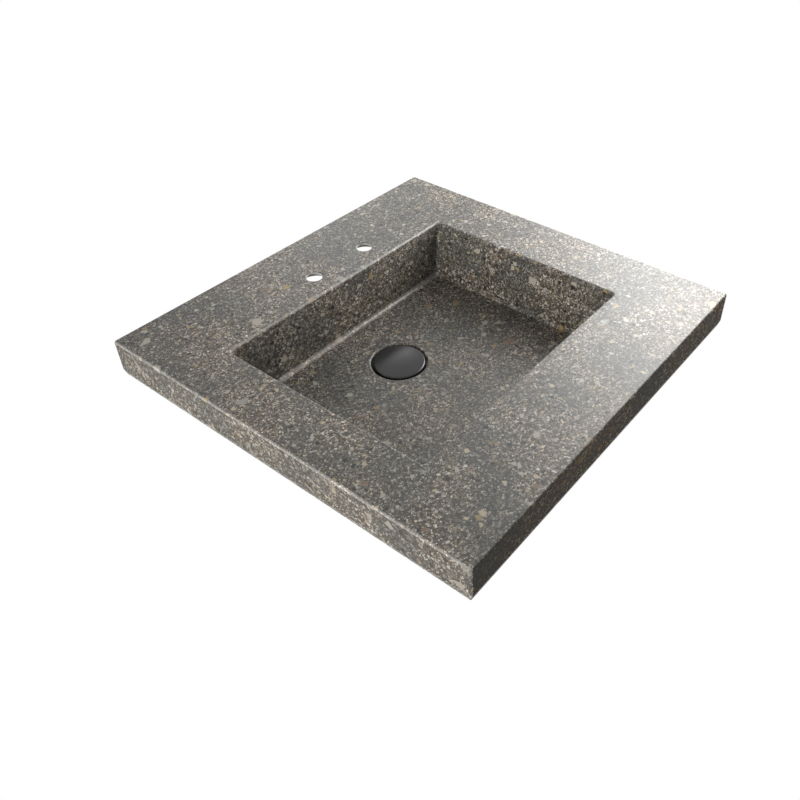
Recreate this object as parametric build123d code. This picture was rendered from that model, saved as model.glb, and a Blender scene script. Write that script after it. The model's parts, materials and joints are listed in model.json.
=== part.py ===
from build123d import *
import math
import os

# Terrazzo basin top with a push-to-open waste, in millimetres.
# Origin at the centre of the rear edge's outer face, which goes against the wall:
# +X to the right of someone in front of the basin, +Y into the wall, +Z up.

# Slab and its turned-down edge
slab_width = 550.0
slab_depth = 540.0
edge_height = 50.0
edge_thickness = 14.0
deck_thickness = 12.0
top_round = 2.0
corner_round = 3.5
foot_bevel_height = 8.5
foot_bevel_inset = 2.5

# Bowl, placed from the slab's centre
bowl_width = 387.0
bowl_length = 299.0
bowl_shift_x = -9.5
bowl_shift_y = -3.5
bowl_depth = 85.0
side_draft = 6.0
end_draft = 2.0
bowl_rim_round = 2.5
bowl_inner_round = 5.0
bowl_wall = 12.0
bowl_floor = 18.0
belly_foot_round = 8.0

# Waste outlet in the bowl's floor, placed from the slab's centre
waste_shift_x = -17.0
waste_shift_y = 50.0
floor_fall = 2.0
fall_radius = 88.0
recess_radius = 37.0
recess_depth = 6.0
recess_round = 3.0
outlet_radius = 22.5

# Tap holes, placed from the slab's centre, thinned from below for the taps' nuts
tap_hole_xs = [-29.0, 67.0]
tap_hole_shift_y = 184.0
tap_hole_radius = 11.0
tap_pocket_radius = 20.0
tap_ledge = 4.5
tap_hole_round = 1.2

# Waste body: G 1 1/4 outside, threads drawn as plain cylinders at their outer size
thread_radius = 20.95
tube_bore = 17.6
flange_radius = 33.0
flange_thickness = 2.0
flange_round = 0.6
gasket_radius = 31.5
gasket_thickness = 1.0
mouth_radius = 20.5
mouth_depth = 3.5
body_length = 45.0
web_drop = 19.0
web_height = 8.0
web_thickness = 3.5
boss_radius = 11.5
boss_height = 10.0
socket_radius = 19.2
socket_depth = 10.0

# Under the stone
washer_gap = 0.2
cone_lip = 2.0
cone_height = 6.0
cone_top_radius = 30.0
cone_foot_radius = 31.0
slip_thickness = 1.5
slip_radius = 30.0
nut_height = 8.0
nut_flats = 56.0
nut_chamfer = 1.5

# Tail piece
tail_seal_thickness = 1.5
tail_collar_radius = 22.5
tail_collar_height = 4.0
tail_length = 48.0
tail_chamfer = 1.0

# Cap
cap_radius = 35.5
cap_height = 5.8
cap_stand = 1.0
cap_crown = 0.9
cap_skin = 1.8
cap_skirt = 1.8
cap_edge_round = 2.5
cap_boss_radius = 8.0
cap_boss_height = 7.7
insert_radius = 6.0
insert_height = 6.0
insert_head = 1.0
seal_inner = 26.0
seal_outer = 31.5
cap_travel = 8.0

# Cartridge
stem_radius = 4.0
stem_fit = 0.05
stem_head_radius = 4.9
stem_head_height = 2.5
barrel_radius = 8.0
barrel_bore = 6.2
barrel_length = 50.0
collar_radius = 10.5
collar_height = 4.0
barrel_roof = 6.0
stop_gap = 0.2
seal_section = 0.7
seal_groove_height = 1.6
cartridge_nut_height = 3.0
cartridge_nut_flats = 20.0
rib_count = 4
rib_inner = 5.2
rib_angle = 20.0
rib_length = 16.0
rib_drop = 1.0
plunger_radius = 4.7
plunger_height = 7.0
fin_radius = 5.9
plunger_fin_angle = 14.0
rotor_height = 5.0
rotor_fin_angle = 10.0
rotor_fin_drop = 1.3
rotor_fin_height = 3.0
rotor_turn = 45.0
tooth_count = 8
tooth_height = 1.0
tooth_inner = 2.8
tooth_gap = 0.3
plug_height = 5.0
plug_lid = 2.0
spring_wire = 0.45
spring_radius = 4.2
spring_turns = 7
spring_seat = 0.03

# Heights and centres worked out from the sizes above
deck_top = edge_height / 2
edge_foot = -edge_height / 2
deck_under = deck_top - deck_thickness
slab_y = -slab_depth / 2
bowl_x = bowl_shift_x
bowl_y = slab_y + bowl_shift_y
waste_x = waste_shift_x
waste_y = slab_y + waste_shift_y
tap_y = slab_y + tap_hole_shift_y
floor_top = deck_top - bowl_depth
recess_rim = floor_top - floor_fall
recess_floor = recess_rim - recess_depth
stone_under = floor_top - bowl_floor
flange_under = recess_floor + gasket_thickness
flange_top = flange_under + flange_thickness
body_foot = flange_under - body_length
boss_top = recess_floor - web_drop + gasket_thickness
cap_rim = recess_rim + cap_stand
cap_ceiling = cap_rim - cap_skin
cap_foot = cap_rim - cap_height
cap_boss_foot = cap_ceiling - cap_boss_height
barrel_top = boss_top + collar_height
barrel_foot = barrel_top - barrel_length
barrel_ceiling = barrel_top - barrel_roof
head_top = barrel_ceiling - stop_gap - cap_travel
head_under = head_top - stem_head_height
plunger_under = head_under - plunger_height
plunger_tips = plunger_under - tooth_height
rotor_tips = plunger_tips - tooth_gap
rotor_root = rotor_tips - tooth_height
rotor_under = rotor_root - rotor_height
plug_top = barrel_foot + plug_height
cone_foot = stone_under - cone_height
slip_foot = cone_foot - slip_thickness
nut_foot = slip_foot - nut_height
tail_collar_top = body_foot - tail_seal_thickness
tail_collar_foot = tail_collar_top - tail_collar_height
tail_foot = tail_collar_foot - tail_length


def disc(radius, low, high):
    """A cylinder on the Z axis between two heights."""
    height = high - low
    return Pos(0, 0, low) * Cylinder(radius, height, align=(Align.CENTER, Align.CENTER, Align.MIN))


def ring(outer, inner, low, high):
    """A flat ring on the Z axis between two heights."""
    return disc(outer, low, high) - disc(inner, low, high)


def cone(low_radius, high_radius, low, high):
    """A cut-off cone on the Z axis between two heights."""
    height = high - low
    solid = Cone(low_radius, high_radius, height, align=(Align.CENTER, Align.CENTER, Align.MIN))
    return Pos(0, 0, low) * solid


def hexagon(flats, low, high):
    """A six-sided prism on the Z axis, measured across its flats."""
    face = RegularPolygon(flats / math.sqrt(3), 6)
    return extrude(Pos(0, 0, low) * face, amount=high - low)


def lathe(points):
    """A solid turned round the Z axis from its outline of (radius, height) points."""
    outline = Polyline(*[(r, 0, z) for r, z in points], close=True)
    return revolve(make_face(outline), axis=Axis.Z)


def sector(inner, outer, angle, low, high, centre_angle):
    """A piece of a ring that spans an angle, centred on another."""
    blank = ring(outer, inner, low, high)
    half = math.radians(angle / 2)
    reach = 3 * outer
    tip = (reach * math.cos(half), reach * math.sin(half))
    wedge = Polygon((0, 0), (tip[0], -tip[1]), (tip[0], tip[1]), align=None)
    keep = extrude(Pos(0, 0, low) * wedge, amount=high - low)
    return Rot(0, 0, centre_angle) * (blank & keep)


def drafted_block(width, length, top, depth):
    """A block whose walls lean in as they go down, the side walls more than the end walls."""
    lean_x = depth * math.tan(math.radians(side_draft))
    lean_y = depth * math.tan(math.radians(end_draft))
    top_face = Pos(bowl_x, bowl_y, top) * Rectangle(width, length)
    foot_face = Pos(bowl_x, bowl_y, top - depth) * Rectangle(width - 2 * lean_x, length - 2 * lean_y)
    return loft([foot_face, top_face])


def upright_edges(solid):
    """The edges that go from one height to another."""
    return [edge for edge in solid.edges() if edge.bounding_box().size.Z > 1]


def edges_at(solid, height, within=0.01):
    """The edges that lie flat at one height."""
    found = []
    for edge in solid.edges():
        box = edge.bounding_box()
        if abs(box.min.Z - height) < within and abs(box.max.Z - height) < within:
            found.append(edge)
    return found


def crown_teeth(root, tips):
    """Pointed teeth on a ring, from their root to their tips, for the latch's two halves."""
    low = min(root, tips)
    high = max(root, tips)
    half_pitch = plunger_radius * math.sin(math.pi / tooth_count)
    teeth = ring(plunger_radius, tooth_inner, low, high)
    notch_face = Polygon((-half_pitch, tips), (half_pitch, tips), (0, root), align=None)
    notch = extrude(Plane.YZ * notch_face, amount=2 * plunger_radius)
    for number in range(tooth_count):
        teeth = teeth - Rot(0, 0, number * 360 / tooth_count) * notch
    return teeth


def basin_slab():
    """The deck with its turned-down edge, before the bowl."""
    slab = Pos(0, slab_y, 0) * Box(slab_width, slab_depth, edge_height)
    slab = fillet(slab.edges().filter_by(Axis.Z), corner_round)
    slab = fillet(edges_at(slab, deck_top), top_round)
    foot = slab.faces().sort_by(Axis.Z)[0]
    slab = chamfer(edges_at(slab, edge_foot), foot_bevel_inset, foot_bevel_height, reference=foot)
    inner_width = slab_width - 2 * edge_thickness
    inner_depth = slab_depth - 2 * edge_thickness
    under_height = deck_under - edge_foot
    under = Pos(0, slab_y, deck_under - under_height / 2) * Box(inner_width, inner_depth, under_height)
    return slab - under


def basin_belly():
    """The outside of the bowl, below the deck."""
    belly = drafted_block(
        bowl_width + 2 * bowl_wall,
        bowl_length + 2 * bowl_wall,
        deck_top - top_round,
        deck_top - top_round - stone_under,
    )
    belly = fillet(upright_edges(belly), bowl_inner_round + bowl_wall)
    return fillet(edges_at(belly, stone_under), belly_foot_round)


def basin_body():
    """Slab, bowl, waste recess and tap holes, cast as one piece."""
    stone = basin_slab() + basin_belly()
    bowl = drafted_block(bowl_width, bowl_length, deck_top, bowl_depth)
    bowl = fillet(upright_edges(bowl) + edges_at(bowl, floor_top), bowl_inner_round)
    stone = stone - bowl
    rim = [e for e in edges_at(stone, deck_top) if abs(e.center().X - bowl_x) < bowl_width / 2 + 1
           and abs(e.center().Y - bowl_y) < bowl_length / 2 + 1]
    stone = fillet(rim, bowl_rim_round)
    at_waste = Pos(waste_x, waste_y, 0)
    stone = stone - at_waste * cone(recess_radius, fall_radius, recess_rim, floor_top)
    stone = stone - at_waste * disc(recess_radius, recess_floor, recess_rim)
    stone = fillet(edges_at(stone, recess_rim), recess_round)
    stone = stone - at_waste * disc(outlet_radius, stone_under, recess_floor)
    for tap_x in tap_hole_xs:
        at_tap = Pos(tap_x, tap_y, 0)
        stone = stone - at_tap * disc(tap_hole_radius, deck_under, deck_top)
        stone = stone - at_tap * disc(tap_pocket_radius, deck_under, deck_top - tap_ledge)
        stone = stone - at_tap * cone(
            tap_hole_radius, tap_hole_radius + tap_hole_round, deck_top - tap_hole_round, deck_top
        )
    return stone


def waste_body():
    """Flange, tube, and the web whose boss holds the cartridge."""
    body = ring(flange_radius, tube_bore, flange_under, flange_top)
    body = fillet([e for e in edges_at(body, flange_top) if e.radius > mouth_radius], flange_round)
    body = body + ring(thread_radius, tube_bore, body_foot, flange_under)
    body = body - cone(tube_bore, mouth_radius, flange_top - mouth_depth, flange_top)
    body = body - disc(socket_radius, body_foot, body_foot + socket_depth)
    web_low = boss_top - boss_height
    for arm in range(3):
        rib = Pos(tube_bore / 2 + 0.5, 0, web_low + web_height / 2) * Box(
            tube_bore + 1, web_thickness, web_height
        )
        body = body + Rot(0, 0, 90 + arm * 120) * rib
    body = body + disc(boss_radius, web_low, boss_top)
    return body - disc(barrel_radius, web_low, boss_top)


def cone_washer():
    """Rubber washer with a lip that enters the outlet."""
    bore = thread_radius + washer_gap
    lip = outlet_radius - washer_gap
    return lathe([
        (bore, stone_under + cone_lip),
        (lip, stone_under + cone_lip),
        (lip, stone_under),
        (cone_top_radius, stone_under),
        (cone_foot_radius, cone_foot),
        (bore, cone_foot),
    ])


def back_nut():
    """Six-sided nut on the tube, its corners turned off."""
    nut = hexagon(nut_flats, nut_foot, slip_foot) - disc(thread_radius, nut_foot, slip_foot)
    corner = nut_flats / math.sqrt(3)
    trim_foot = cone(corner - nut_chamfer, corner + nut_chamfer, nut_foot, nut_foot + 2 * nut_chamfer)
    trim = trim_foot + disc(corner + nut_chamfer, nut_foot + 2 * nut_chamfer, slip_foot)
    return nut & trim


def tail_piece():
    """Lower tube: a spigot into the body, a collar, and the thread for the trap's nut."""
    tail = disc(socket_radius, tail_collar_top, body_foot + socket_depth - 1)
    tail = tail + disc(tail_collar_radius, tail_collar_foot, tail_collar_top)
    shank = disc(thread_radius, tail_foot, tail_collar_foot)
    tail = tail + chamfer(edges_at(shank, tail_foot), tail_chamfer)
    return tail - disc(tube_bore, tail_foot, body_foot + socket_depth)


def waste_cap():
    """Low domed cover with a skirt over the flange and a boss for its insert."""
    crown_radius = (cap_radius ** 2 + cap_crown ** 2) / (2 * cap_crown)
    ball = Pos(0, 0, cap_rim + cap_crown - crown_radius) * Sphere(crown_radius)
    cap = disc(cap_radius, cap_foot, cap_rim + cap_crown) & ball
    rim_edge = [e for e in edges_at(cap, cap_rim, 0.05)]
    cap = fillet(rim_edge, cap_edge_round)
    cap = cap - disc(cap_radius - cap_skirt, cap_foot, cap_ceiling)
    cap = cap + disc(cap_boss_radius, cap_boss_foot, cap_ceiling)
    return cap - disc(insert_radius, cap_boss_foot, cap_boss_foot + insert_height)


def cap_insert():
    """Brass insert, closed at its top, threaded for the stem."""
    insert = disc(insert_radius, cap_boss_foot, cap_boss_foot + insert_height)
    return insert - disc(stem_radius, cap_boss_foot, cap_boss_foot + insert_height - insert_head)


def stem():
    """Rod from the cap into the barrel, with the head that pushes the latch."""
    rod = disc(stem_radius, head_top, cap_boss_foot + insert_height - insert_head)
    return rod + disc(stem_head_radius, head_under, head_top)


def stem_seal():
    """Ring of round section in the barrel's groove, round the stem."""
    height = barrel_top - barrel_roof / 2
    centre_radius = stem_radius + stem_fit + seal_section
    return Pos(0, 0, height) * Torus(centre_radius, seal_section)


def cartridge_barrel():
    """Casing with a collar that seats on the web's boss, and ribs that guide the latch."""
    barrel = disc(barrel_radius, barrel_foot, barrel_top)
    barrel = barrel + disc(collar_radius, boss_top, barrel_top)
    barrel = barrel - disc(stem_radius + stem_fit, barrel_foot, barrel_top)
    barrel = barrel - disc(barrel_bore, barrel_foot, barrel_ceiling)
    groove_low = barrel_top - barrel_roof / 2 - seal_groove_height / 2
    groove_outer = stem_radius + stem_fit + 2 * seal_section
    barrel = barrel - disc(groove_outer, groove_low, groove_low + seal_groove_height)
    rib_high = barrel_ceiling - rib_drop
    for number in range(rib_count):
        angle = number * 360 / rib_count
        rib = sector(rib_inner, barrel_bore + 0.5, rib_angle, rib_high - rib_length, rib_high, angle)
        barrel = barrel + rib
    return barrel


def latch_plunger():
    """Pusher with fins in the slots between the barrel's ribs, and teeth below."""
    slot_centre = 180 / rib_count
    plunger = disc(plunger_radius, plunger_under, head_under)
    for number in range(rib_count):
        angle = slot_centre + number * 360 / rib_count
        plunger = plunger + sector(
            plunger_radius - 1, fin_radius, plunger_fin_angle, plunger_under, head_under, angle
        )
    return plunger + crown_teeth(plunger_under, plunger_tips)


def latch_rotor():
    """Cam that the plunger's teeth turn, on the spring."""
    start = 180 / rib_count - rotor_turn / 2
    rotor = disc(plunger_radius, rotor_under, rotor_root)
    fin_top = rotor_root - rotor_fin_drop
    for number in range(rib_count):
        angle = start + number * 360 / rib_count
        rotor = rotor + sector(
            plunger_radius - 1, fin_radius, rotor_fin_angle, fin_top - rotor_fin_height, fin_top, angle
        )
    return rotor + crown_teeth(rotor_root, rotor_tips)


def return_spring():
    """Coil spring between the barrel's plug and the rotor, drawn pressed."""
    low = plug_top + spring_wire + spring_seat
    high = rotor_under - spring_wire - spring_seat
    pitch = (high - low) / spring_turns
    print("spring gap between turns", round(pitch - 2 * spring_wire, 2))
    path = Pos(0, 0, low) * Helix(pitch, high - low, spring_radius)
    section = Plane(origin=path @ 0, z_dir=path % 0) * Circle(spring_wire)
    return sweep(section, path=path, is_frenet=True)


def barrel_cap():
    """Plug that closes the barrel's foot and seats the spring."""
    return disc(barrel_bore, barrel_foot, plug_top) + disc(barrel_radius, barrel_foot - plug_lid, barrel_foot)


def barrel_nut():
    """Thin nut that locks the cartridge under the web's boss."""
    high = boss_top - boss_height
    low = high - cartridge_nut_height
    return hexagon(cartridge_nut_flats, low, high) - disc(barrel_radius, low, high)


os.makedirs("parts", exist_ok=True)
export_step(basin_body(), "parts/basin_body.step")

waste_parts = {
    "waste_body": waste_body(),
    "flange_gasket": ring(gasket_radius, thread_radius + washer_gap, recess_floor, flange_under),
    "cone_washer": cone_washer(),
    "slip_washer": ring(slip_radius, thread_radius + washer_gap, slip_foot, cone_foot),
    "back_nut": back_nut(),
    "tail_seal": ring(thread_radius, socket_radius, tail_collar_top, body_foot),
    "tail_piece": tail_piece(),
    "waste_cap": waste_cap(),
    "cap_insert": cap_insert(),
    "cap_seal": ring(seal_outer, seal_inner, flange_top, cap_ceiling),
    "stem": stem(),
    "stem_seal": stem_seal(),
    "cartridge_barrel": cartridge_barrel(),
    "barrel_nut": barrel_nut(),
    "barrel_cap": barrel_cap(),
    "latch_plunger": latch_plunger(),
    "latch_rotor": latch_rotor(),
    "return_spring": return_spring(),
}
for name, solid in waste_parts.items():
    export_step(Pos(waste_x, waste_y, 0) * solid, f"parts/{name}.step")
print("heights", {"recess_rim": recess_rim, "stone_under": stone_under, "tail_foot": tail_foot})
print("waste axis", waste_x, waste_y, "plug top", plug_top)
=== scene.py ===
# %% [markdown]
# # A terrazzo basin top with a push waste
# The real object is one slab of cast stone, ground flat and sealed with a satin finish. A deep
# rectangular bowl is sunk in it, with two tap holes behind, and a black cap closes the outlet.
# The measured model is loaded first. Its nodes keep their shape and place, and this file gives
# them their surfaces, cuts the screw threads that the measured model leaves plain, and sets the
# lamps and the camera.

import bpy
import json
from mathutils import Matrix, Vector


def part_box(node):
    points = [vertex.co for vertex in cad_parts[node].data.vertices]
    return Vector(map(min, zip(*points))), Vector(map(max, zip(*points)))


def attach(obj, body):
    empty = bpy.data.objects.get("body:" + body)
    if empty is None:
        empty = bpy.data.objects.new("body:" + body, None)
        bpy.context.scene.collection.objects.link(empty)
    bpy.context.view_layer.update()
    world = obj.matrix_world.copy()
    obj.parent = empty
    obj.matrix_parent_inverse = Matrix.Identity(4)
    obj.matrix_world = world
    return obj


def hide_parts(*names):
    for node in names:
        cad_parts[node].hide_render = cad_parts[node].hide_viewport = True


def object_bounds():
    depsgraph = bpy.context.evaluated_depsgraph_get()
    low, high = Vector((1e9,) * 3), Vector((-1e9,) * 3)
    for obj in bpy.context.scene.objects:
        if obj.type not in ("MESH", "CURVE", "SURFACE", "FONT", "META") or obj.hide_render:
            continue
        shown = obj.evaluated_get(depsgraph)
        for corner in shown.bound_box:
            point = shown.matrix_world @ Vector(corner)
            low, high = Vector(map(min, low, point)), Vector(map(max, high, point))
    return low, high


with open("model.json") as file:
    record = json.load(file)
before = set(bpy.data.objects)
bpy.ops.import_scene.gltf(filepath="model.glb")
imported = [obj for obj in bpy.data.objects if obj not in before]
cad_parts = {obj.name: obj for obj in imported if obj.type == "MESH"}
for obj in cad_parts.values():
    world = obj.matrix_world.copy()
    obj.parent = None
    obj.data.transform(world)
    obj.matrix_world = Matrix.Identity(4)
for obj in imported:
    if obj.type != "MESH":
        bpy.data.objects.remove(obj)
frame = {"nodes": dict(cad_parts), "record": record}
cad_box = [list(corner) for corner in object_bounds()]
print("nodes", len(frame["nodes"]), "box", cad_box)

import json
import math

import bpy
from mathutils import Matrix, Vector

MM = 0.001
scene = bpy.context.scene
bpy.ops.object.select_all(action="DESELECT")

# %% [markdown]
# ## Shader maths in plain expressions
# A surface that changes from point to point is worked out by shader nodes. Joining them one by
# one is slow to read, so a small class stands for what a node gives, and an expression such as
# `1 - mask` adds the Math node that works it out. Colours and places go through Vector Math and
# Mix instead, because a Math node turns a colour grey. Every other node comes from one method,
# which takes the node's type, its settings and what goes into its sockets.

# %% A value on a surface


class Value:
    """A number, colour or place that a node gives at each point of a surface."""

    def __init__(self, finish, socket):
        self.finish = finish
        self.socket = socket

    def math(self, operation, *inputs):
        settings = {"operation": operation}
        return self.finish.node("ShaderNodeMath", settings, dict(enumerate(inputs)))

    def __add__(self, other):
        return self.math("ADD", self, other)

    def __sub__(self, other):
        return self.math("SUBTRACT", self, other)

    def __rsub__(self, other):
        return self.math("SUBTRACT", other, self)

    def __mul__(self, other):
        return self.math("MULTIPLY", self, other)

    def __gt__(self, other):
        return self.math("GREATER_THAN", self, other)

    def __lt__(self, other):
        return self.math("LESS_THAN", self, other)

    __radd__ = __add__
    __rmul__ = __mul__

    def clamped(self):
        return self.math("MINIMUM", self.math("MAXIMUM", self, 0.0), 1.0)

    def at_least(self, other):
        return self.math("MAXIMUM", self, other)

    def absolute(self):
        return self.math("ABSOLUTE", self)

    def sine(self):
        return self.math("SINE", self)

    def vector_math(self, operation, inputs, output="Vector"):
        settings = {"operation": operation}
        return self.finish.node("ShaderNodeVectorMath", settings, {0: self, **inputs}, output)

    def moved(self, other):
        """A place moved by another, or a colour with another added."""
        return self.vector_math("ADD", {1: other})

    def scaled(self, factor):
        """A place or a colour times one number."""
        return self.vector_math("SCALE", {"Scale": factor})

    def tinted(self, other):
        """A colour times another, part by part."""
        return self.vector_math("MULTIPLY", {1: other})

    def parts(self):
        """The three numbers that a place or a colour is made of."""
        split = self.finish.node("ShaderNodeSeparateXYZ", None, {"Vector": self})
        return [Value(self.finish, socket) for socket in split.socket.node.outputs]


# %% A finish, which holds the nodes of one material


class Finish:
    """One material, with the nodes that work out its surface."""

    def __init__(self, name, **fixed):
        self.material = bpy.data.materials.new(name)
        self.material.use_nodes = True
        self.tree = self.material.node_tree
        self.shader = self.tree.nodes["Principled BSDF"]
        for socket, number in fixed.items():
            self.shader.inputs[socket.replace("_", " ")].default_value = number
        self.place = self.node("ShaderNodeTexCoord", output="Object")

    def feed(self, socket, given):
        if isinstance(given, Value):
            self.tree.links.new(given.socket, socket)
        else:
            socket.default_value = given

    def node(self, kind, settings=None, inputs=None, output=0):
        made = self.tree.nodes.new(kind)
        for name, setting in (settings or {}).items():
            if name == "stops":
                self.set_stops(made.color_ramp, setting)
            elif name == "steps":
                self.set_stops(made.color_ramp, setting)
                made.color_ramp.interpolation = "CONSTANT"
            else:
                setattr(made, name, setting)
        for name, given in (inputs or {}).items():
            self.feed(made.inputs[name], given)
        return Value(self, made.outputs[output])

    def set_stops(self, ramp, stops):
        while len(ramp.elements) < len(stops):
            ramp.elements.new(1.0)
        for element, (position, colour) in zip(ramp.elements, stops):
            element.position = position
            element.color = (*colour[:3], 1.0)

    def noise(self, size, detail=2.0, output="Fac"):
        """Soft noise whose lumps are about one size across, in metres."""
        inputs = {"Vector": self.place, "Scale": 1 / size, "Detail": detail}
        return self.node("ShaderNodeTexNoise", None, inputs, output)

    def bent(self, size, reach):
        """The place of each point, pushed about a little by noise, so that straight edges bend."""
        push = self.noise(size, output="Color").moved((-0.5, -0.5, -0.5)).scaled(2 * reach)
        return self.place.moved(push)

    def blend(self, amount, first, second):
        """A colour between two colours, which are the node's sockets 6 and 7 and its output 2."""
        inputs = {"Factor": amount, 6: first, 7: second}
        return self.node("ShaderNodeMix", {"data_type": "RGBA"}, inputs, 2)

    def ramp(self, amount, stops):
        """A colour that runs smoothly from stop to stop."""
        return self.node("ShaderNodeValToRGB", {"stops": stops}, {"Fac": amount})

    def steps(self, amount, stops):
        """A colour that jumps at each stop."""
        return self.node("ShaderNodeValToRGB", {"steps": stops}, {"Fac": amount})

    def bumps(self, height, deep):
        """Turns a height from 0 to 1 into a surface that is so many metres deep."""
        inputs = {"Height": height, "Distance": deep, "Strength": 1.0}
        return self.node("ShaderNodeBump", None, inputs, "Normal")

    def set(self, **linked):
        for socket, given in linked.items():
            self.feed(self.shader.inputs[socket.replace("_", " ")], given)
        return self.material


def chart(red, green, blue):
    """A colour as a paint chart gives it, 0 to 255, turned into the light it sends back."""
    def linear(level):
        level = level / 255
        return level / 12.92 if level <= 0.04045 else ((level + 0.055) / 1.055) ** 2.4
    return (linear(red), linear(green), linear(blue), 1.0)


# %% [markdown]
# ## Terrazzo
# Terrazzo is cement with stone chips cast in it, ground flat and polished, so each chip is cut
# through and shows as a flat angular patch. Painting each chip would be endless. A Voronoi
# texture fills space with cells, and a cut through it looks like a cut through packed chips, so
# each size of chip is one Voronoi. The distance from a cell's edge says how much cement lies
# between two chips, and three random numbers for each cell say whether a chip is there, how large
# it is and what stone it is. Noise bends the cells a little, because no real chip has edges as
# straight as a cell's.

# %% Cells, one for each chip
stone = Finish("terrazzo_stone")
little_bent = stone.bent(2.5 * MM, 0.45 * MM)
more_bent = stone.bent(5 * MM, 1.1 * MM)


def cells(pitch, place):
    """How far inside its cell each point lies, in pitches, and the cell's three random numbers."""
    inputs = {"Vector": place, "Scale": 1 / pitch}
    inset = stone.node("ShaderNodeTexVoronoi", {"feature": "DISTANCE_TO_EDGE"}, inputs)
    return (inset, *stone.node("ShaderNodeTexVoronoi", None, inputs, "Color").parts())


# %% [markdown]
# ## The cement and the grit
# Most of the stone is grit of one to four millimetres, pale on dark cement, packed so closely
# that only thin seams of cement show. The brown cement turns blue-grey in soft clouds, and there
# the grit lies deeper and shows less. Fine sand makes both cements uneven.

# %% Terrazzo: cement and grit
SAND_PITCH = 1.3 * MM
BROWN_CEMENT = chart(51, 47, 42)
BLUE_CEMENT = chart(55, 55, 54)
GRIT_SIZES = {
    # pitch: (how many of the cells hold grit, how much paler it is)
    2.2 * MM: (1.00, 0.00),
    3.7 * MM: (0.30, 0.25),
}
GRIT_TONES = [
    (0.00, chart(66, 62, 57)), (0.30, chart(101, 97, 90)), (0.60, chart(137, 132, 124)),
    (0.85, chart(181, 176, 167)), (1.00, chart(228, 224, 216)),
]
GRIT_TINTS = [
    (0.00, (1.00, 1.00, 1.00)), (0.66, (1.00, 0.92, 0.80)), (0.80, (1.00, 0.88, 0.72)),
    (0.87, (1.00, 0.88, 0.82)), (0.92, (0.92, 0.97, 0.97)),
]

CLOUD_SIZE = 70 * MM
GRIT_SEAM, GRIT_SHARPNESS = 0.05, 11.0

clouds = ((stone.noise(CLOUD_SIZE) - 0.40) * 5.0).clamped()
sand = cells(SAND_PITCH, stone.place)[1]
hue = stone.blend(clouds, (1.03, 1.00, 0.96, 1.0), (0.98, 1.00, 0.99, 1.0))
colour = stone.blend(clouds, BROWN_CEMENT, BLUE_CEMENT).scaled(0.7 + 0.6 * sand)
shown = 1 - 0.45 * clouds
grit = 0.0 * sand
for pitch, (share, paler) in GRIT_SIZES.items():
    inset, tone, tint, here = cells(pitch, little_bent)
    grain = ((inset - GRIT_SEAM) * GRIT_SHARPNESS).clamped() * (here < share) * shown
    tones = stone.ramp(tone * (1 - paler) + paler, GRIT_TONES)
    colour = stone.blend(grain, colour, tones.tinted(stone.steps(tint, GRIT_TINTS)))
    grit = grit.at_least(grain)
print("cement and grit nodes", len(stone.tree.nodes))

# %% [markdown]
# ## The larger chips
# Over the grit lie larger chips of light grey, cream, tan, ochre and rust, and black ones. They
# are made as the grit is, with larger cells of which only a few hold a chip.

# %% Terrazzo: chips
CHIP_STONES = [
    (0.00, chart(172, 166, 155)), (0.36, chart(180, 168, 146)), (0.54, chart(152, 134, 106)),
    (0.70, chart(158, 138, 98)), (0.82, chart(122, 100, 84)), (0.90, chart(148, 146, 140)),
]
BLACK_CHIP = chart(34, 32, 30)
CHIP_SIZES = {
    # pitch: how many of the cells hold a chip
    7 * MM: 0.07,
    12 * MM: 0.04,
}
BLACK_PITCH, BLACK_SHARE = 5.5 * MM, 0.06
CHIP_SHARPNESS = 12.0
TONE_SIZE = 35 * MM

chips = 0.0 * sand
for pitch, share in CHIP_SIZES.items():
    inset, here, kind, size = cells(pitch, more_bent)
    chip = ((inset - (0.06 + 0.14 * size)) * CHIP_SHARPNESS).clamped() * (here < share)
    colour = stone.blend(chip, colour, stone.steps(kind, CHIP_STONES))
    chips = chips.at_least(chip)
inset, here, kind, size = cells(BLACK_PITCH, more_bent)
black = ((inset - 0.12) * CHIP_SHARPNESS).clamped() * (here < BLACK_SHARE)
colour = stone.blend(black, colour, BLACK_CHIP)
colour = colour.tinted(hue).scaled(0.80 + 0.32 * stone.noise(TONE_SIZE))

# %% [markdown]
# ## Ground, polished, drilled and cast faces
# The deck and the bowl are ground and sealed until they are satin. The edges that hands and cloths
# rub most, the bowl's rear rim and foot and the slab's side edges, are glossier, and their colour
# carries a painted highlight that makes them paler and brighter in patches.
# The slab's outer faces are only ground, so they stay matt. Those at the sides keep some pale dust,
# and those at the front and rear are painted darker and with more contrast, as painted shade.
# The tap holes and the pockets for the nuts below them are pale: partly raw drilled stone, and
# partly painted light on walls that lie in shade. The underside is never ground: it has the
# grey skin of cement that lay against the mould, with small air holes. Where each face lies is
# worked out from the slab's own box and the bowl's size, so it needs no painted mask.

# %% Terrazzo: which face is which
slab_low, slab_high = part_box("basin_body")
BOWL_PLACE = (-9.5 * MM, -273.5 * MM)
BOWL_HALF = (193.5 * MM, 149.5 * MM)
BOWL_DRAFT = (math.tan(math.radians(6)), math.tan(math.radians(2)))
BOWL_FLOOR = -60 * MM
DECK_UNDERSIDE = 13.2 * MM
HOLES = ((-29 * MM, -86 * MM), (67 * MM, -86 * MM))
EDGE_SKIN = 0.3 * MM
# Each tap hole's bore, and the pocket for the nut below it: radius with the skin, and top.
HOLE_STEPS = ((11.0 * MM + EDGE_SKIN, 1.1 * MM), (20.0 * MM + EDGE_SKIN, 4 * MM))
# How far the glossier polish and the painted highlight reach from the bowl's rim, from its foot
# and from the slab's side edges.
RIM_BAND, FOOT_BAND, EDGE_BAND = 2.6 * MM, 5.2 * MM, 2.2 * MM
# The hollow under the slab, inside its turned-down edge.
HOLLOW_HALF, HOLLOW_MIDDLE = (261.5 * MM, 256.5 * MM), -270 * MM

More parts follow.
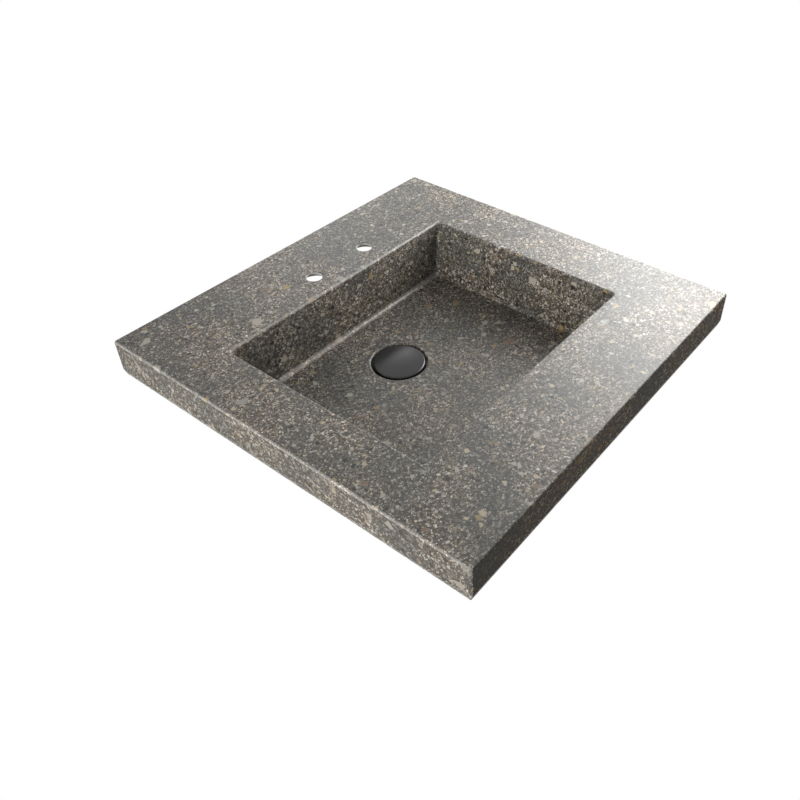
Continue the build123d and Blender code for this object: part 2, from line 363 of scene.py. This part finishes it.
x, y, z = stone.place.parts()
beyond = []
for across, middle, half, draft in zip((x, y), BOWL_PLACE, BOWL_HALF, BOWL_DRAFT):
    beyond.append((across - middle).absolute() - half + draft * (slab_high.z - z))
beyond_wall = beyond[0].at_least(beyond[1])
in_bowl = (beyond_wall < 6 * MM) * (z > BOWL_FLOOR - 8.5 * MM)

side_face = x.absolute() > slab_high.x - EDGE_SKIN
front_face = (y < slab_low.y + EDGE_SKIN).at_least(y > slab_high.y - EDGE_SKIN)
rear = (y > BOWL_PLACE[1]) * (beyond[1] > beyond[0] - 3 * MM)
rim = (beyond[1].absolute() < RIM_BAND) * (z > slab_high.z - RIM_BAND)
foot = (beyond[1] > -FOOT_BAND) * (z < BOWL_FLOOR + FOOT_BAND) * in_bowl
side_edge = (x.absolute() > slab_high.x - EDGE_BAND) * (z > slab_high.z - EDGE_BAND)
# Where the stone is polished glossier and its colour carries a painted highlight.
polish_and_highlight = (rear * rim.at_least(foot)).at_least(side_edge)
drilled_and_painted_light = 0.0 * sand
for hole_x, hole_y in HOLES:
    on_axis = stone.node("ShaderNodeCombineXYZ", None, {"X": hole_x, "Y": hole_y, "Z": z})
    from_hole = stone.place.vector_math("DISTANCE", {1: on_axis}, "Value")
    for radius, below_top in HOLE_STEPS:
        drilled_and_painted_light = drilled_and_painted_light.at_least((from_hole < radius) * (z < slab_high.z - below_top))
drilled_and_painted_light = drilled_and_painted_light * (z > DECK_UNDERSIDE)
in_hollow = (x.absolute() < HOLLOW_HALF[0]) * ((y - HOLLOW_MIDDLE).absolute() < HOLLOW_HALF[1])
cast = (z < DECK_UNDERSIDE) * in_hollow * (1 - in_bowl)

# %% Terrazzo: the cast skin, and the whole surface
PIT_PITCH, PIT_SHARE = 9 * MM, 0.35
SKIN_TONES = [(0.3, chart(112, 108, 102)), (0.7, chart(138, 134, 128))]
RELIEF = 0.015 * MM

from_pit = stone.node(
    "ShaderNodeTexVoronoi", None, {"Vector": stone.place, "Scale": 1 / PIT_PITCH})
pits = ((0.30 - from_pit) * 8.0).clamped() * (cells(PIT_PITCH, stone.place)[1] < PIT_SHARE)
skin = stone.ramp(stone.noise(30 * MM, detail=4.0), SKIN_TONES)
# The air holes are painted darker, as painted shade inside them.
skin = stone.blend(pits, skin, chart(72, 69, 65))
colour = stone.blend(side_face * 0.35, colour, chart(112, 107, 102))
# Painted shade: the front and rear faces are made darker, with more contrast.
colour = stone.blend(front_face, colour, colour.tinted(colour).scaled(3.6))
patchy = ((stone.noise(2 * MM) - 0.3) * 2.5).clamped()
# Painted highlight: the rear rim, the rear foot and the slab's side edges are made paler and
# brighter in patches.
colour = stone.blend(polish_and_highlight * 0.55, colour, chart(116, 114, 110))
colour = colour.scaled(1.0 + polish_and_highlight * (0.5 + 0.9 * patchy))
colour = stone.blend(cast, colour, skin)
# Pale hole walls: partly raw drilled stone, partly painted light on walls that lie in shade.
colour = stone.blend(drilled_and_painted_light, colour, chart(190, 188, 183))

matt = side_face.at_least(front_face).at_least(cast).at_least(drilled_and_painted_light)
polish = 0.50 - 0.06 * chips - 0.22 * polish_and_highlight + 0.35 * matt
height = (0.5 + 0.5 * grit - 0.3 * chips) * (1 - cast) + (1 - pits) * 8.0 * cast
TERRAZZO = stone.set(Base_Color=colour, Roughness=polish, Normal=stone.bumps(height, RELIEF))
print("terrazzo nodes", len(stone.tree.nodes))

# %% [markdown]
# ## The waste's finishes
# The cap, the body and the tail have a satin black coat, sprayed on the brass and baked, so it is
# faintly pebbled. The nuts are turned brass, the seals are moulded rubber, and the latch is white
# plastic. A single flat colour would look like none of them, so each gets the marks of how it was
# made: pebbles in the coat, fine rings on what was turned, and grain on what was moulded.

# %% Coat
WASTE_CENTRE = Vector((-17 * MM, -220 * MM, 0))


def coat():
    made = Finish("black_coat")
    pebble = made.noise(0.7 * MM, detail=1.0)
    film = made.noise(14 * MM)
    colour = made.blend(film, chart(20, 20, 21), chart(28, 28, 29))
    rough = 0.16 + 0.08 * film
    return made.set(Base_Color=colour, Roughness=rough, Normal=made.bumps(pebble, 0.006 * MM))


# %% Metal, rubber and plastic


def turned_metal(name, light, dark, shine, ring_pitch):
    """Metal turned on a lathe, with fine rings round the waste's axis."""
    made = Finish(name, Metallic=1.0)
    inputs = {"Vector": made.place, "Location": -WASTE_CENTRE}
    x, y, z = made.node("ShaderNodeMapping", None, inputs).parts()
    flat = made.node("ShaderNodeCombineXYZ", None, {"X": x, "Y": y})
    radius = flat.vector_math("LENGTH", {}, "Value")
    rings = ((radius + z) * (2 * math.pi / ring_pitch)).sine() * 0.5 + 0.5
    stain = made.noise(9 * MM, detail=3.0)
    colour = made.blend(stain, light, dark)
    rough = shine + 0.12 * stain + 0.05 * rings
    return made.set(Base_Color=colour, Roughness=rough, Normal=made.bumps(rings, 0.004 * MM))


def moulded(name, light, dark, rough, grain):
    """Rubber or plastic from a mould, with its fine grain."""
    made = Finish(name)
    speckle = made.noise(grain)
    colour = made.blend(made.noise(12 * MM), light, dark)
    rough = rough + 0.12 * speckle
    return made.set(Base_Color=colour, Roughness=rough, Normal=made.bumps(speckle, 0.01 * MM))


BLACK_COAT = coat()
BRASS = turned_metal("turned_brass", chart(214, 178, 110), chart(188, 146, 84), 0.24, 0.5 * MM)
STEEL = turned_metal("drawn_steel", chart(196, 196, 194), chart(166, 166, 166), 0.22, 0.3 * MM)
RUBBER = moulded("black_rubber", chart(44, 44, 44), chart(34, 34, 35), 0.62, 0.4 * MM)
WHITE_PLASTIC = moulded("white_plastic", chart(226, 226, 222), chart(214, 214, 209), 0.38, 0.5 * MM)
ACETAL = moulded("acetal", chart(230, 228, 218), chart(218, 216, 205), 0.34, 0.6 * MM)

# %% Which slot has which finish
FINISHES = {
    "terrazzo": TERRAZZO, "black_coat": BLACK_COAT, "brass": BRASS, "steel": STEEL,
    "black_rubber": RUBBER, "white_plastic": WHITE_PLASTIC, "acetal": ACETAL,
}
slots = {part["node"]: part["material_slot"] for part in frame["record"]["subparts"]}
for name, node in frame["nodes"].items():
    node.data.materials.clear()
    node.data.materials.append(FINISHES[slots[name]])
    print(name, slots[name])

# %% [markdown]
# ## Screw threads
# The waste's body and tail have a standard pipe thread outside, which the measured model draws
# as a plain cylinder. A thread could be painted on with a bump, but its outline would stay
# straight. A real one is cut on a lathe by a pointed tool that moves along as the work turns, so
# the same is done here: a diamond, the tool's point, is swept into a helix by the Screw modifier
# and taken out of a copy of the plain piece by a Boolean. The copy then stands for the plain one.

# %% A helix in the shape of the groove
THREAD_PITCH = 25.4 * MM / 11
THREAD_CREST = 20.955 * MM
THREAD_DEPTH = 0.64 * THREAD_PITCH
TOOL_HEIGHT = 0.49 * THREAD_PITCH
STEPS_PER_TURN = 36


def groove(low, high):
    """The helix that is cut away from the height low to the height high."""
    place = (WASTE_CENTRE.x, WASTE_CENTRE.y, low)
    bpy.ops.mesh.primitive_circle_add(
        vertices=4, radius=THREAD_DEPTH, location=place, rotation=(math.pi / 2, 0, 0))
    cutter = bpy.context.object
    bpy.ops.object.transform_apply(location=False, rotation=True, scale=False)
    bpy.ops.object.mode_set(mode="EDIT")
    bpy.ops.mesh.select_all(action="SELECT")
    bpy.ops.transform.resize(value=(1, 1, TOOL_HEIGHT / THREAD_DEPTH))
    bpy.ops.transform.translate(value=(THREAD_CREST, 0, 0))
    bpy.ops.object.mode_set(mode="OBJECT")
    sweep = cutter.modifiers.new("sweep", "SCREW")
    sweep.screw_offset = THREAD_PITCH
    sweep.iterations = round((high - low) / THREAD_PITCH)
    sweep.steps = sweep.render_steps = STEPS_PER_TURN
    bpy.ops.object.modifier_apply(modifier="sweep")
    bpy.ops.object.mode_set(mode="EDIT")
    bpy.ops.mesh.select_all(action="SELECT")
    bpy.ops.mesh.fill_holes(sides=4)
    bpy.ops.mesh.normals_make_consistent(inside=False)
    bpy.ops.object.mode_set(mode="OBJECT")
    return cutter


# %% Cut the thread in a copy of a plain piece
WELD = 0.001 * MM
THREADS = {
    # node: (the thread's low end, its high end)
    "tail_piece": (-166.5 * MM, -118.5 * MM),
    "waste_body": (-113.0 * MM, -84.0 * MM),
}


def threaded(node, low, high):
    """A copy of the node with its thread cut, which stands for the plain one."""
    bpy.ops.object.select_all(action="DESELECT")
    cutter = groove(low, high)
    bpy.ops.object.select_all(action="DESELECT")
    plain = frame["nodes"][node]
    plain.select_set(True)
    bpy.context.view_layer.objects.active = plain
    bpy.ops.object.duplicate()
    piece = bpy.context.object
    piece.name = "threaded_" + node
    bpy.ops.object.mode_set(mode="EDIT")
    bpy.ops.mesh.select_all(action="SELECT")
    bpy.ops.mesh.remove_doubles(threshold=WELD)
    bpy.ops.object.mode_set(mode="OBJECT")
    cut = piece.modifiers.new("cut", "BOOLEAN")
    cut.operation = "DIFFERENCE"
    cut.solver = "EXACT"
    cut.object = cutter
    bpy.ops.object.modifier_apply(modifier="cut")
    bpy.ops.object.mode_set(mode="EDIT")
    bpy.ops.mesh.select_all(action="SELECT")
    bpy.ops.mesh.remove_doubles(threshold=WELD)
    bpy.ops.mesh.normals_make_consistent(inside=False)
    bpy.ops.mesh.select_all(action="DESELECT")
    bpy.ops.mesh.select_non_manifold()
    bpy.ops.object.mode_set(mode="OBJECT")
    open_edges = sum(edge.select for edge in piece.data.edges)
    bpy.ops.object.shade_smooth_by_angle(angle=math.radians(25))
    bpy.data.objects.remove(cutter)
    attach(piece, "basin")
    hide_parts(node)
    print(piece.name, "faces", len(piece.data.polygons), "open edges", open_edges)


for node, (low, high) in THREADS.items():
    threaded(node, low, high)

# %% [markdown]
# ## Floor and light
# The object was photographed for a catalogue on pure white, with a strong lamp low on the right,
# one on the left that lights the near side, and hardly any light from the front. Two low lamps as
# strong as these would glare white on the deck for anyone who looks across it, so they don't show
# in reflections, and a card that shows in nothing else gives the sheen at the right corner. A large
# floor lies under the object. To the camera and in reflections it is white, and to the light that
# bounces round the room it is plain and dark, so that the shaded front stays dark.

# %% Floor
FLOOR_LEVEL = cad_box[0][2]


def floor_paint():
    made = Finish("floor_paint", Roughness=0.9, Base_Color=chart(56, 56, 56))
    seen = made.node("ShaderNodeLightPath", output="Is Camera Ray")
    for ray in ("Is Glossy Ray", "Is Transmission Ray"):
        seen = seen.at_least(made.node("ShaderNodeLightPath", output=ray))
    white = made.node("ShaderNodeEmission", None, {"Color": (1, 1, 1, 1), "Strength": 1.0})
    paint = Value(made, made.shader.outputs[0])
    mix = made.node("ShaderNodeMixShader", None, {0: seen, 1: paint, 2: white})
    made.feed(made.tree.nodes["Material Output"].inputs["Surface"], mix)
    return made.material


bpy.ops.mesh.primitive_plane_add(size=12, location=(0, 0, FLOOR_LEVEL))
floor = bpy.context.object
floor.name = "floor"
floor.data.materials.append(floor_paint())

# %% Lamps
SLAB_CENTRE = Vector((0, -0.27, 0.0))
LAMPS = {
    # name: (place, size, watts)
    "left_softbox": ((-1.6, -0.30, 0.35), 0.6, 28.5),
    "right_softbox": ((1.0, -0.43, 0.35), 0.45, 10.2),
    "near_right_softbox": ((0.5, -0.42, 0.35), 0.40, 2.15),
    "rear_right_softbox": ((1.0, 0.10, 0.35), 0.45, 2.2),
    "rear_softbox": ((0.5, 0.50, 0.35), 0.45, 1.55),
    "sheen_card": ((0.96, -0.22, 0.54), 0.45, 8.5),
}
NO_GLARE = {"left_softbox", "right_softbox"}
SHEEN_ONLY = {"sheen_card"}

for name, (place, size, watts) in LAMPS.items():
    bpy.ops.object.light_add(type="AREA", location=place)
    lamp = bpy.context.object
    lamp.name = name
    lamp.data.size = size
    lamp.data.energy = watts
    lamp.rotation_euler = (SLAB_CENTRE - Vector(place)).to_track_quat("-Z", "Y").to_euler()
    lamp.visible_glossy = name not in NO_GLARE
    lamp.visible_diffuse = name not in SHEEN_ONLY

# %% World
ROOM_LEVEL = 0.05


def sky():
    made = bpy.data.worlds.new("studio")
    made.use_nodes = True
    tree = made.node_tree
    background = tree.nodes["Background"]
    background.inputs["Color"].default_value = (1, 1, 1, 1)
    rays = tree.nodes.new("ShaderNodeLightPath")
    seen = rays.outputs["Is Camera Ray"]
    for ray in ("Is Glossy Ray", "Is Transmission Ray"):
        either = tree.nodes.new("ShaderNodeMath")
        either.operation = "MAXIMUM"
        tree.links.new(seen, either.inputs[0])
        tree.links.new(rays.outputs[ray], either.inputs[1])
        seen = either.outputs[0]
    level = tree.nodes.new("ShaderNodeMapRange")
    level.inputs["To Min"].default_value = ROOM_LEVEL
    level.inputs["To Max"].default_value = 1.0
    tree.links.new(seen, level.inputs["Value"])
    tree.links.new(level.outputs["Result"], background.inputs["Strength"])
    return made


scene.world = sky()

# %% [markdown]
# ## Camera
# The camera's place was solved from the slab's corners in the photograph. It looks down from in
# front of the left corner, and is turned a degree, as the photograph is.

# %% Camera
IMAGE_SIDE = 800
CAMERA_PLACE = Vector((-0.62845, -0.80769, 0.62767))
CAMERA_AZIMUTH = math.radians(-53.622)
CAMERA_ELEVATION = math.radians(39.158)
CAMERA_ROLL = math.radians(0.978)
FOCAL_PIXELS = 815.2
CENTRE_PIXEL = (482.0, 360.0)

back = Vector((
    math.sin(CAMERA_AZIMUTH) * math.cos(CAMERA_ELEVATION),
    -math.cos(CAMERA_AZIMUTH) * math.cos(CAMERA_ELEVATION),
    math.sin(CAMERA_ELEVATION),
))
level_right = (-back).cross(Vector((0, 0, 1))).normalized()
level_up = level_right.cross(-back)
right = math.cos(CAMERA_ROLL) * level_right + math.sin(CAMERA_ROLL) * level_up
up = math.cos(CAMERA_ROLL) * level_up - math.sin(CAMERA_ROLL) * level_right
bpy.ops.object.camera_add(location=CAMERA_PLACE)
camera = bpy.context.object
camera.name = "camera"
turn = Matrix((right, up, back)).transposed().to_4x4()
camera.matrix_world = Matrix.Translation(CAMERA_PLACE) @ turn
camera.data.sensor_width = 36.0
camera.data.lens = FOCAL_PIXELS / IMAGE_SIDE * camera.data.sensor_width
camera.data.shift_x = (IMAGE_SIDE / 2 - CENTRE_PIXEL[0]) / IMAGE_SIDE
camera.data.shift_y = (CENTRE_PIXEL[1] - IMAGE_SIDE / 2) / IMAGE_SIDE
scene.camera = camera
scene.view_settings.view_transform = "Standard"
print("lens", camera.data.lens, "shift", camera.data.shift_x, camera.data.shift_y)
